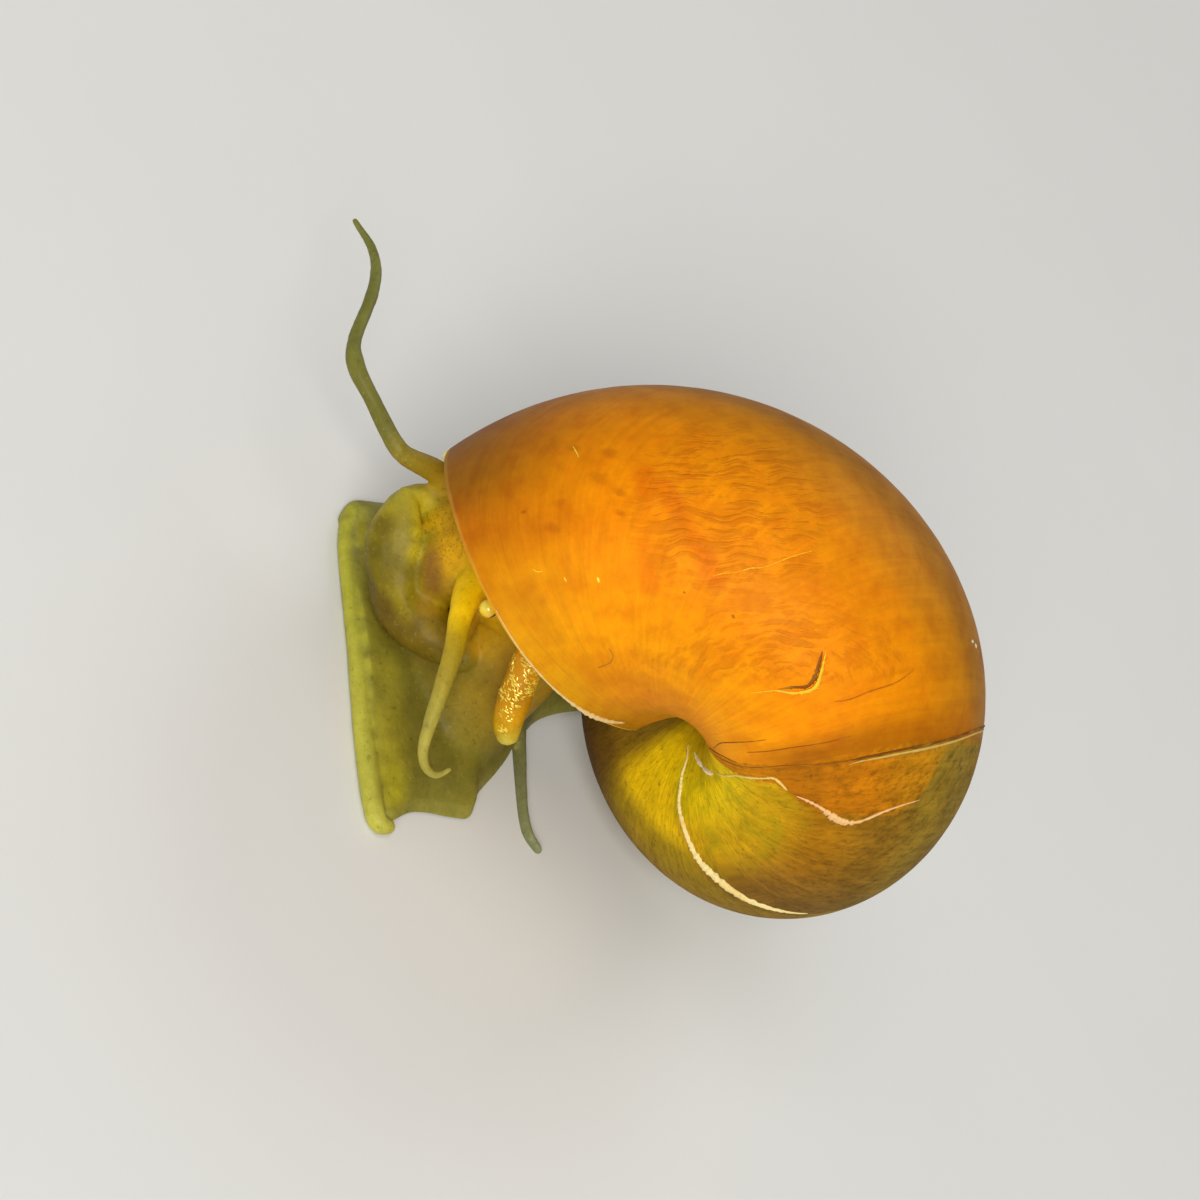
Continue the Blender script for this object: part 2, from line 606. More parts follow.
# Foot: (y, left edge, right edge, crown x, crown height) across each station.
FOOT = [
    (-9.4, 14.6, -12.2, 1.0, 2.0), (-8.0, 14.9, -13.8, 1.0, 2.4), (-5.0, 13.4, -14.4, 0.6, 3.2),
    (-1.2, 13.2, -14.8, -0.2, 4.0), (0.3, 12.8, -15.1, -0.6, 4.1), (1.3, 10.8, -15.3, -1.0, 4.2),
    (4.4, 7.6, -15.9, -2.4, 4.1), (6.6, 4.9, -16.3, -4.2, 3.8), (9.6, 2.4, -16.5, -6.6, 3.5),
    (14.0, 0.8, -16.3, -7.8, 3.4), (20.0, -0.8, -15.4, -8.2, 3.4), (26.0, -3.2, -13.4, -8.3, 3.2),
    (30.0, -5.8, -11.2, -8.5, 2.0), (31.6, -7.6, -9.6, -8.6, 1.2)]
FOOT_SHARES = (-1.0, -0.94, -0.8, -0.65, -0.5, -0.35, -0.2, 0.0, 0.2, 0.35, 0.5, 0.65, 0.8, 0.94, 1.0)
FOOT_EDGE = 0.9
FOOT_EDGE_REACH = 0.35
FOOT_FALL = 1.6
FRONT_SLANT = -0.075
SLANT_END = 10.0
SLANT_FADE = 16.0
SOLE_SHARE = 0.4
FOOT_TONES = ((0.86, (0.18, 0.155, 0.020)), (1.0, (0.30, 0.27, 0.045)))

# Each part: its rows, sides of its ring, the way its width runs, squareness, and tones from root
# to tip as (share of its length, colour).
PARTS = {
    "front_lip": ([
        (-12.4, -7.5, 0.7, 0.6, 0.7), (-9.0, -8.6, 0.75, 0.75, 0.85), (0.0, -9.4, 0.8, 0.8, 0.9),
        (9.0, -10.3, 0.8, 0.85, 0.9), (14.6, -10.4, 0.75, 0.8, 0.85),
        (15.2, -9.3, 0.65, 0.65, 0.7)], 14, UP, 2.0, [
        (0.0, (0.42, 0.40, 0.03)), (1.0, (0.50, 0.47, 0.07))]),
    "back_lip": ([
        (-10.5, -7.0, 1.2, 0.5, 0.8), (0.0, -7.9, 1.35, 0.6, 1.0), (9.0, -8.8, 1.1, 0.6, 1.0),
        (12.6, -8.9, 0.6, 0.5, 0.8)], 12, UP, 2.0, [
        (0.0, (0.36, 0.30, 0.018)), (1.0, (0.46, 0.40, 0.022))]),
    "margin_fold": ([
        (3.4, 6.8, 0.5, 0.5, 1.0), (8.0, 6.1, 0.35, 0.4, 0.75), (11.5, 5.7, 0.3, 0.38, 0.65),
        (13.1, 5.8, 0.3, 0.36, 0.6), (14.2, 6.5, 0.3, 0.3, 0.5)], 12, FORTH, 2.0, [
        (0.0, (0.155, 0.15, 0.05)), (1.0, (0.22, 0.24, 0.11))]),
    "body": ([
        (-0.8, -0.4, 1.6, 9.8, 6.6), (-0.8, -0.3, 3.6, 9.0, 5.6), (-0.8, -0.1, 7.0, 8.0, 4.7),
        (-1.4, -0.2, 12.0, 7.2, 4.4), (-0.8, -2.2, 17.0, 7.8, 5.8),
        (-0.2, -4.0, 22.0, 6.0, 5.0)], 40, SIDEWAYS, 2.0, [
        (0.0, (0.17, 0.15, 0.016)), (0.2, (0.23, 0.175, 0.012)), (0.45, (0.33, 0.19, 0.005)),
        (1.0, (0.45, 0.26, 0.008))]),
    "head": ([
        (-1.2, 0.2, 13.0, 6.2, 4.2), (-3.2, -2.6, 12.4, 5.8, 4.2), (-4.5, -4.9, 11.2, 5.3, 4.0),
        (-5.0, -6.3, 8.8, 4.6, 3.2), (-5.1, -7.0, 6.6, 3.9, 2.3)], 36, SIDEWAYS, 2.6, [
        (0.0, (0.66, 0.34, 0.002)), (0.45, (0.60, 0.31, 0.002)), (0.75, (0.36, 0.22, 0.003)),
        (1.0, (0.30, 0.19, 0.005))]),
    "tentacle_left": ([
        (-1.2, -5.7, 12.6, 2.3, 2.3), (0.6, -7.8, 12.1, 1.35, 1.35), (3.2, -9.0, 11.6, 0.95, 0.95),
        (5.6, -9.5, 10.9, 0.85, 0.85), (9.7, -10.6, 9.0, 0.65, 0.65), (12.0, -10.8, 7.4, 0.5, 0.5),
        (13.2, -10.2, 6.6, 0.42, 0.42), (13.6, -9.0, 6.4, 0.35, 0.35),
        (13.2, -8.1, 6.9, 0.28, 0.28)], 18, UP, 2.0, [
        (0.0, (0.96, 0.58, 0.002)), (0.24, (0.90, 0.58, 0.002)), (0.34, (0.42, 0.28, 0.004)),
        (0.5, (0.38, 0.32, 0.045)), (1.0, (0.36, 0.32, 0.06))]),
    "tentacle_right": ([
        (-7.6, -6.4, 12.0, 1.4, 1.4), (-9.3, -8.9, 12.2, 1.05, 1.05), (-10.2, -12.8, 12.4, 0.8, 0.8),
        (-13.8, -15.1, 12.8, 0.7, 0.7), (-16.2, -16.6, 13.2, 0.75, 0.75), (-18.8, -16.2, 13.2, 0.6, 0.6),
        (-23.6, -13.8, 13.6, 0.55, 0.55), (-27.6, -12.6, 13.2, 0.45, 0.45),
        (-31.0, -13.2, 12.4, 0.28, 0.28)], 18, UP, 2.0, [
        (0.0, (0.46, 0.26, 0.004)), (0.14, (0.36, 0.22, 0.008)), (0.3, (0.16, 0.15, 0.02)),
        (1.0, (0.15, 0.16, 0.035))]),
    "palp_right": ([
        (-7.8, -6.9, 10.5, 1.7, 1.6), (-8.3, -9.3, 9.8, 1.3, 1.2), (-7.5, -10.6, 8.8, 1.3, 1.2),
        (-5.9, -11.0, 7.4, 1.5, 1.3), (-4.3, -10.6, 6.3, 1.6, 1.3), (-2.6, -10.0, 5.6, 1.0, 0.9),
        (-1.2, -9.6, 5.3, 0.45, 0.4)], 20, UP, 2.0, [
        (0.0, (0.40, 0.27, 0.012)), (0.2, (0.37, 0.30, 0.03)), (0.36, (0.28, 0.22, 0.012)),
        (0.55, (0.17, 0.13, 0.002)), (0.8, (0.14, 0.095, 0.002)), (1.0, (0.13, 0.08, 0.002))]),
    "palp_leaf": ([
        (-8.4, -10.6, 10.1, 0.65, 0.5), (-7.4, -10.7, 9.7, 1.3, 0.7), (-6.4, -10.8, 9.1, 1.8, 0.8),
        (-5.1, -10.6, 8.3, 2.05, 0.85), (-3.9, -10.3, 7.5, 1.95, 0.8), (-2.6, -9.8, 6.8, 1.5, 0.65),
        (-1.3, -9.4, 6.6, 0.8, 0.5), (-0.3, -9.1, 6.6, 0.35, 0.3)], 24, VIEW_RIGHT, 2.0, [
        (0.0, (0.38, 0.32, 0.03)), (0.3, (0.34, 0.27, 0.012)), (0.6, (0.22, 0.17, 0.005)),
        (1.0, (0.26, 0.19, 0.004))]),
    "palp_left": ([
        (-1.0, -5.4, 9.8, 1.3, 1.3), (0.8, -5.8, 9.5, 1.2, 1.1), (2.4, -6.3, 8.9, 1.0, 0.9),
        (3.3, -6.7, 8.1, 0.6, 0.5)], 16, UP, 2.0, [
        (0.0, (0.42, 0.24, 0.004)), (1.0, (0.34, 0.19, 0.008))]),
    "lower_lip": ([
        (-6.6, -6.6, 5.8, 1.8, 1.8), (-4.4, -8.1, 4.9, 2.1, 2.0), (-1.9, -8.0, 5.0, 2.3, 2.3),
        (0.5, -6.6, 5.8, 2.2, 2.3), (2.2, -4.6, 6.8, 1.6, 2.0)], 20, UP, 2.0, [
        (0.0, (0.12, 0.085, 0.004)), (0.5, (0.13, 0.08, 0.002)), (0.8, (0.17, 0.11, 0.004)),
        (1.0, (0.20, 0.15, 0.010))]),
    "eye_stalk_left": ([
        (-1.6, -3.8, 12.6, 1.2, 1.2), (0.8, -5.3, 12.8, 1.1, 1.1),
        (2.4, -6.9, 13.2, 0.85, 0.85)], 16, UP, 2.0, [
        (0.0, (0.60, 0.31, 0.003)), (1.0, (0.72, 0.38, 0.003))]),
    "eye_stalk_right": ([
        (-7.6, -4.6, 11.2, 1.2, 1.2), (-9.4, -5.6, 11.4, 1.0, 1.0),
        (-10.7, -6.3, 11.6, 0.85, 0.85)], 16, UP, 2.0, [
        (0.0, (0.60, 0.31, 0.003)), (1.0, (0.72, 0.38, 0.003))]),
    "neck_lobe": ([
        (-6.4, -2.0, 13.6, 1.8, 1.2), (-9.4, -3.2, 12.2, 1.9, 0.9),
        (-10.6, -4.2, 10.2, 1.5, 0.6)], 16, UP, 2.0, [
        (0.0, (0.52, 0.32, 0.02)), (1.0, (0.46, 0.30, 0.03))]),
    "siphon": ([
        (4.2, -4.4, 16.2, 1.8, 1.5), (6.8, -5.6, 15.4, 1.4, 1.35), (8.4, -5.9, 13.9, 1.35, 1.3),
        (9.6, -5.7, 12.4, 1.35, 1.3), (10.6, -5.4, 11.2, 1.25, 1.2),
        (11.2, -4.9, 10.4, 1.0, 1.0)], 24, UP, 2.0, [
        (0.0, (0.70, 0.29, 0.001)), (0.55, (0.55, 0.235, 0.001)), (0.8, (0.54, 0.28, 0.001)),
        (0.93, (0.52, 0.34, 0.008)), (1.0, (0.60, 0.43, 0.03))]),
}
PART_STEPS = 5
# The round end of a tube: how far along and how wide each ring is, in reaches.
ROUND_END = [(0.5, 0.87), (0.85, 0.53), (0.97, 0.25)]
# The hole cut into a part: its rows, sides and the way its width runs.
HOLES = {
    "siphon": ([
        (10.55, -5.45, 11.25, 0.35, 0.35), (11.2, -4.9, 10.4, 0.45, 0.45), (12.0, -4.2, 9.3, 0.6, 0.6)],
        16, UP),
    "head": ([
        (-5.1, -8.2, 6.6, 0.12, 0.5), (-5.1, -8.4, 5.8, 0.28, 0.7), (-5.1, -8.2, 5.0, 0.12, 0.4)],
        12, SIDEWAYS),
}
print("flesh parts:", len(PARTS) + 2)

# %% Tubes of the flesh
def bend(value, squareness):
    """Bend a sine or cosine towards a squarer outline; 2 keeps it round."""
    return math.copysign(abs(value) ** (2.0 / squareness), value)


def tone_at(tones, share):
    """The colour at a share of the length, between the two nearest tones."""
    for (low, a), (high, b) in zip(tones, tones[1:]):
        if share <= high:
            t = max(0.0, (share - low) / (high - low))
            return tuple(x + (y - x) * t for x, y in zip(a, b))
    return tones[-1][1]


def tube(name, rows, sides, hint, squareness=2.0, blunt=False):
    """A closed tube through the rows, with round ends unless blunt, and its share at each ring."""
    rows = smooth_rows(rows, PART_STEPS)
    centres = [Vector(row[:3]) * MM for row in rows]
    rings, shares, tips = [], [], []
    last = len(rows) - 1
    for k, row in enumerate(rows):
        along = (centres[min(k + 1, last)] - centres[max(k - 1, 0)]).normalized()
        across = (hint - along * along.dot(hint)).normalized()
        up = along.cross(across)
        cap = [] if blunt else ROUND_END
        shifts = [(0.0, 1.0)]
        if k == 0:
            shifts = [(-shift, scale) for shift, scale in reversed(cap)] + shifts
        if k == last:
            shifts = shifts + cap
        for shift, scale in shifts:
            middle = centres[k] + along * (shift * row[4] * MM)
            rings.append([
                middle + across * (row[3] * MM * scale * bend(math.cos(a), squareness))
                + up * (row[4] * MM * scale * bend(math.sin(a), squareness))
                for a in (TURN * (i + 0.5) / sides for i in range(sides))])
            shares.append(k / last)
        if k in (0, last):
            reach = 0.0 if blunt else row[4] * MM
            tips.append(centres[k] + along * (-reach if k == 0 else reach))
    return ringed(name, (rings, *tips)), rings, shares


def foot_sheet():
    """The foot's flat sheet, thicker at its crown, and a tone for each of its points."""
    rings, tones = [], []
    for y, left, right, crown_x, crown in smooth_rows(FOOT, PART_STEPS):
        fade = max(0.0, min(1.0, (SLANT_END - y) / SLANT_FADE))
        ring = []
        for share in FOOT_SHARES:
            edge = left if share > 0 else right
            z = FOOT_EDGE + (crown - FOOT_EDGE) * (1 - abs(share) ** FOOT_FALL)
            z = FOOT_EDGE / 2 if abs(share) == 1.0 else z
            ring.append((crown_x + (edge - crown_x) * abs(share), z))
            tones.append(tone_at(FOOT_TONES, abs(share)))
        for x in (left - FOOT_EDGE_REACH, crown_x + (left - crown_x) * SOLE_SHARE,
                  crown_x + (right - crown_x) * SOLE_SHARE, right + FOOT_EDGE_REACH):
            ring.append((x, 0.0))
            tones.append(FOOT_TONES[0][1])
        rings.append([Vector((x, y + FRONT_SLANT * x * fade, z)) * MM for x, z in ring])
    return ringed("foot", (rings,)), rings, tones


foot, foot_rings, tones = foot_sheet()
flesh_parts = [foot]
tone_points = [point for ring in foot_rings for point in ring]
for name, (rows, sides, hint, squareness, palette) in PARTS.items():
    made, rings, shares = tube(name, rows, sides, hint, squareness, blunt=name == "body")
    if name in HOLES:
        made = merge(made, [tube("hole", *HOLES[name])[0]], "DIFFERENCE")
    flesh_parts.append(made)
    for ring, share in zip(rings, shares):
        tone_points += ring
        tones += [tone_at(palette, share)] * len(ring)
print("tone samples:", len(tones))

# %% [markdown]
# ## The mantle
# Inside the lip a collar of flesh, the mantle, fills the shell's mouth round the body and lays down
# new shell. It has the shape of the tube's inside, so the spiral tree makes it too, a little smaller
# than the hollow, and the older whorls are cut from it so that it lies against them.

# %% Mantle
MANTLE_CLEAR = 0.3 * MM
MANTLE_DEPTH = 0.11
MANTLE_SET_BACK = 0.018
MANTLE_RINGS = 30
MANTLE_CUTTERS = range(1, 5)
MANTLE_TONE = (0.62, 0.37, 0.02)

mantle = tube_length("mantle", -MANTLE_DEPTH, -MANTLE_SET_BACK, MANTLE_RINGS,
                     Swell=-WALL - MANTLE_CLEAR, Relief=0.0)
mantle = merge(mantle, [half_turn(index, MANTLE_CLEAR) for index in MANTLE_CUTTERS], "DIFFERENCE")
flesh_parts.append(mantle)
mantle_points = [Vector(point) for point in read(mantle.data.vertices, "co")]
tone_points += mantle_points
tones += [MANTLE_TONE] * len(mantle_points)
print("mantle faces:", len(mantle.data.polygons))

# %% Fuse the flesh
VOXEL = 0.13 * MM
MOST_FACES = 190000

bm = bmesh.new()
for part in flesh_parts:
    bm.from_mesh(part.data)
    bpy.data.objects.remove(part, do_unlink=True)
joined = bpy.data.meshes.new("skin")
bm.to_mesh(joined)
bm.free()
skin = change(new_object("skin", joined), "REMESH", mode="VOXEL", voxel_size=VOXEL)
skin = change(skin, "SMOOTH", factor=0.5, iterations=5)
faces = 2 * len(skin.data.polygons)
if faces > MOST_FACES:
    skin = change(skin, "DECIMATE", ratio=MOST_FACES / faces)
print("skin faces:", faces, "thinned to", len(skin.data.polygons))

# %% Soften the joins
# The fused tubes meet in sharp creases where the real skin runs smoothly from one part to the next.
# The crease round the foot of the body: an oval (x, y, half width, half length), how far out it lies
# and how wide it is in shares of the oval, and the heights between which it is softened.
BODY_BASE = (-0.8, -0.35, 9.6, 6.4)
CREASE, CREASE_WIDE = 1.04, 0.16
CREASE_LOW, CREASE_HIGH, CREASE_FADE = 0.8, 7.5, 2.0
SOFTEST = 0.01
# Joins at a place: centre, reach and strength, in millimetres.
SOFT_JOINS = [
    ((-0.6, -7.0, 12.2), 2.0, 1.0), ((-7.6, -8.0, 10.6), 2.0, 1.0), ((-1.6, -8.6, 6.6), 1.8, 1.0),
    ((-6.4, -8.4, 6.6), 2.0, 1.0), ((1.2, -5.4, 7.6), 1.8, 1.0), ((-8.6, -8.4, 11.4), 1.5, 1.0),
    ((5.6, -4.4, 15.0), 1.6, 1.0), ((1.6, -5.6, 12.4), 1.2, 0.8), ((12.0, -8.6, 1.2), 2.2, 1.0),
    ((-2.4, -9.4, 6.2), 1.6, 1.0), ((0.8, -7.0, 7.6), 1.8, 1.0), ((2.6, -6.4, 8.6), 1.2, 0.8)]

skin_points = read(skin.data.vertices, "co")
x, y, z = (skin_points / MM).T
base = np.hypot((x - BODY_BASE[0]) / BODY_BASE[2], (y - BODY_BASE[1]) / BODY_BASE[3])
soft = (np.clip(1.6 - np.abs(base - CREASE) / CREASE_WIDE, 0, 1)
        * np.clip((CREASE_HIGH - z) / CREASE_FADE, 0, 1) * (z > CREASE_LOW))
for centre, reach, strength in SOFT_JOINS:
    far = np.linalg.norm(skin_points / MM - np.array(centre), axis=1) / reach
    soft = np.maximum(soft, strength * np.clip(1.5 - 1.5 * far, 0.0, 1.0))
group = skin.vertex_groups.new(name="soft")
for index in np.nonzero(soft > SOFTEST)[0]:
    group.add([int(index)], float(soft[index]), "REPLACE")
skin = change(skin, "SMOOTH", factor=0.6, iterations=60, vertex_group="soft")
print("softened points:", int((soft > SOFTEST).sum()))

# %% [markdown]
# ## Tone of the flesh
# A snail's flesh changes colour from part to part: the head is a clear yellow, the snout a dusky
# pink brown, the foot a thin grey tan with a yellow edge. Each part above names its own tones. A
# point of the fused skin takes the mean of the nearest samples, and the result is blurred along the
# surface, so one tone runs into the next as it does on the animal.

# %% Blend the tones over the skin
NEAREST = 6
TONE_REACH = 0.2 * MM
TONE_BLUR = 7
# Markings on the head, lips, tentacle and siphon: centre, reach and colour of each, in millimetres.
MARKINGS = [
    ((-7.0, -9.6, 10.3), 1.6, (0.54, 0.42, 0.015)), ((-5.9, -9.1, 10.0), 1.0, (0.54, 0.35, 0.006)),
    ((-6.0, -11.9, 8.4), 1.3, (0.15, 0.11, 0.003)), ((-4.6, -12.2, 7.2), 1.4, (0.14, 0.11, 0.002)),
    ((-5.4, -9.8, 9.3), 1.0, (0.68, 0.53, 0.01)), ((-4.1, -9.6, 8.6), 1.0, (0.64, 0.49, 0.008)),
    ((-5.6, -8.9, 11.4), 1.4, (0.68, 0.38, 0.002)), ((-2.6, -8.7, 11.8), 1.9, (0.80, 0.42, 0.002)),
    ((-3.0, -9.0, 10.0), 1.15, (0.25, 0.11, 0.012)), ((-2.05, -8.9, 9.6), 1.2, (0.26, 0.115, 0.013)),
    ((-1.2, -8.6, 9.1), 1.3, (0.24, 0.11, 0.011)), ((-0.4, -8.0, 10.4), 1.1, (0.46, 0.25, 0.006)),
    ((-0.2, -7.9, 7.6), 1.3, (0.36, 0.22, 0.016)), ((-0.3, -6.6, 7.9), 1.2, (0.44, 0.28, 0.006)),
    ((1.5, -7.6, 7.4), 1.2, (0.30, 0.20, 0.012)), ((2.8, -3.9, 9.0), 1.8, (0.47, 0.27, 0.008)),
    ((4.5, -3.5, 7.9), 1.2, (0.29, 0.19, 0.014)), ((2.4, -6.5, 12.8), 1.2, (0.76, 0.40, 0.002)),
    ((1.2, -8.6, 12.6), 1.3, (0.96, 0.60, 0.002)), ((11.9, -5.3, 10.4), 0.7, (0.66, 0.50, 0.06))]


def shares_from(centre, reach):
    """How far each point of the skin is from a centre, in reaches; both are in millimetres."""
    return np.linalg.norm(skin_points - np.array(centre) * MM, axis=1) / (reach * MM)


def blurred(values, pairs, rounds):
    """Mean of each point and its neighbours, again and again."""
    count = np.bincount(pairs.ravel(), minlength=len(values)).astype(np.float32)[:, None]
    for _ in range(rounds):
        total = np.zeros_like(values)
        np.add.at(total, pairs[:, 0], values[pairs[:, 1]])
        np.add.at(total, pairs[:, 1], values[pairs[:, 0]])
        values = 0.5 * values + 0.5 * total / count
    return values


samples = lookup(tone_points)
tones = np.array(tones, np.float32)
skin_points = read(skin.data.vertices, "co")
skin_tones = np.empty((len(skin_points), 3), np.float32)
for index, point in enumerate(skin_points):
    near = samples.find_n(point, NEAREST)
    weights = np.array([1.0 / (distance + TONE_REACH) ** 2 for _, _, distance in near])
    skin_tones[index] = weights @ tones[[k for _, k, _ in near]] / weights.sum()
for centre, reach, tone in MARKINGS:
    share = np.clip(1.8 - 1.8 * shares_from(centre, reach), 0.0, 1.0)[:, None]
    skin_tones = skin_tones * (1 - share) + np.array(tone) * share
skin_tones = blurred(skin_tones, read(skin.data.edges, "vertices", np.int32, 2), TONE_BLUR)
print("tones blended over", len(skin_points), "points")

# %% Folds and grain in the skin
# Size and depth of each.
FOLDS = ((1.6 * MM, 0.10 * MM), (0.5 * MM, 0.035 * MM))
SOLE_FADE = 0.8 * MM

normals = read(skin.data.vertices, "normal")
depths = np.array([sum(depth * (0.5 + 0.5 * noise(Vector(point) / size)) for size, depth in FOLDS)
                   for point in skin_points])
depths *= np.clip(skin_points[:, 2] / SOLE_FADE, 0.0, 1.0)
skin_points = skin_points - normals * depths[:, None]
skin_points[:, 2] = np.maximum(skin_points[:, 2], 0.0)
skin.data.vertices.foreach_set("co", skin_points.ravel())
store(skin.data, "tone", "FLOAT_COLOR", np.c_[skin_tones, np.ones(len(skin_tones))])
skin.data.update()
skin.data.shade_smooth()
print("deepest fold:", round(float(depths.max()) / MM, 3), "mm")

# %% [markdown]
# ## The lid
# The operculum is the horny plate that shuts the shell when the snail draws in. It rides on the
# tail. It grows by rings round a point off its middle, so it is a grid of rings and spokes: each
# ring is a share of the way out, and its height carries the fine steps of growth.

# %% Operculum
LID_CENTRE = Vector((-8.6, 17.6, 3.75)) * MM
LID_LONG = 11.0 * MM
LID_WIDE = 7.4 * MM
LID_THICK = 0.7 * MM
LID_TAPER = 0.14
LID_TILT = math.radians(1.5)
LID_HEADING = math.radians(6.0)
LID_RINGS = 60
LID_SPOKES = 96
LID_CORE = (-0.22, 0.12)
LID_DISH = 0.16 * MM
LID_STEP = 0.045 * MM
LID_STEPS = 13
LID_UNDER = 0.97
LID_WAVER = 0.02
# Where the rim begins and how wide it is, in shares of the way out, and how far it falls.
RIM_START, RIM_WIDE, RIM_FALL = 0.93, 0.07, 0.75

lid_place = (Matrix.Translation(LID_CENTRE) @ Matrix.Rotation(LID_HEADING, 4, "Z")
             @ Matrix.Rotation(LID_TILT, 4, "Y"))
outline = [(math.cos(a) * (1.0 - LID_TAPER * math.sin(a)), math.sin(a))
           for a in (TURN * i / LID_SPOKES for i in range(LID_SPOKES))]


def lid_point(share, across, along):
    """A point of the lid's upper face, this share of the way from its core to its outline."""
    x = LID_CORE[0] * (1 - share) + across * share
    y = LID_CORE[1] * (1 - share) + along * share
    phase = (share + LID_WAVER * noise(Vector((x * 2.0, y * 2.0, 3.0)))) * LID_STEPS
    wave = abs((phase % 1.0) - 0.5) * 2.0
    rim = 1.0 - RIM_FALL * max(0.0, (share - RIM_START) / RIM_WIDE) ** 2
    z = (LID_THICK / 2 - LID_DISH * (1 - share ** 2) - LID_STEP * (1 - wave)) * rim
    return lid_place @ Vector((x * LID_WIDE / 2, y * LID_LONG / 2, z))


lid_rings = [[lid_point(k / LID_RINGS, *spot) for spot in outline] for k in range(1, LID_RINGS + 1)]
lid_rings.append([
    lid_place @ Vector((LID_UNDER * x * LID_WIDE / 2, LID_UNDER * y * LID_LONG / 2, -LID_THICK / 2))
    for x, y in outline])
lid = ringed("lid", (lid_rings,))
shares = [k / LID_RINGS for k in range(1, LID_RINGS + 1)] + [1.0]
store(lid.data, "growth", "FLOAT", [share for share in shares for _ in outline] + [0.0, 1.0])
lid.data.shade_smooth()
print("lid:", len(lid.data.polygons), "faces,", LID_STEPS, "growth steps")

# %% [markdown]
# ## The eyes
# Each eye is a bead at the end of a short stalk: a clear amber skin over a small dark pupil. It is a
# ball of rings round the line in which it looks, and an attribute tells the finish how far each
# point is from that line.

# %% Eyes
EYE_RADIUS = 0.72 * MM
EYE_RINGS = 28
EYE_SPOKES = 40
# Each eye: its centre in millimetres and the way it looks.
EYES = (((2.8, -7.65, 13.5), (0.80, 0.55, 0.05)), ((-11.5, -6.7, 11.7), (-0.80, 0.55, 0.05)))


def eyeball(centre, looks):
    """The rings of a ball round the line in which the eye looks, and its two tips."""
    centre = Vector(centre) * MM
    looks = Vector(looks).normalized()
    side = looks.orthogonal().normalized()
    up = looks.cross(side)
    rings = [[centre + EYE_RADIUS * (
        looks * math.cos(polar) + (side * math.cos(a) + up * math.sin(a)) * math.sin(polar))
        for a in (TURN * i / EYE_SPOKES for i in range(EYE_SPOKES))]
        for polar in (math.pi * k / EYE_RINGS for k in range(1, EYE_RINGS))]
    return rings, centre + looks * EYE_RADIUS, centre - looks * EYE_RADIUS


eyes = ringed("eyes", *(eyeball(centre, looks) for centre, looks in EYES))
away = [k / EYE_RINGS for k in range(1, EYE_RINGS) for _ in range(EYE_SPOKES)] + [0.0, 1.0]
store(eyes.data, "away", "FLOAT", away * len(EYES))
eyes.data.shade_smooth()
print("eyes:", len(eyes.data.polygons), "faces")

# %% [markdown]
# ## Gold flecks
# The breathing tube and the lip of the mantle beside it carry flecks that shine like gold leaf.
# Hundreds of small flakes scattered over a surface are work for Geometry Nodes: points are spread
# over a copy of the skin there, as densely as an attribute says, and a small flat flake is set on
# each, turned and sized at random from a fixed seed.

# %% Where the flecks lie
# Patches of flecks: centre, reach and density of each, in millimetres.
FLECK_PATCHES = [((6.2, -7.0, 15.6), 1.3, 0.8), ((8.2, -7.1, 14.6), 1.4, 1.0),
                 ((9.6, -5.6, 14.2), 1.0, 0.8), ((9.6, -7.0, 13.2), 1.1, 0.9),
                 ((10.8, -6.6, 12.2), 0.6, 0.7), ((11.6, -6.1, 11.2), 0.45, 1.0),
                 ((7.6, -4.6, 15.4), 1.0, 0.5)]

fleck = np.zeros(len(skin_points), np.float32)
for centre, reach, density in FLECK_PATCHES:
    fleck = np.maximum(fleck, density * np.clip(1.4 - shares_from(centre, reach), 0.0, 1.0))
bm = bmesh.new()
bm.from_mesh(skin.data)
layer = bm.verts.layers.float.new("fleck")
for vert, value in zip(bm.verts, fleck):
    vert[layer] = value
bmesh.ops.delete(bm, geom=[v for v in bm.verts if v[layer] <= 0.0], context="VERTS")
ground = bpy.data.meshes.new("gold_flecks")
bm.to_mesh(ground)
bm.free()
print("ground for the flecks:", len(ground.polygons), "faces")

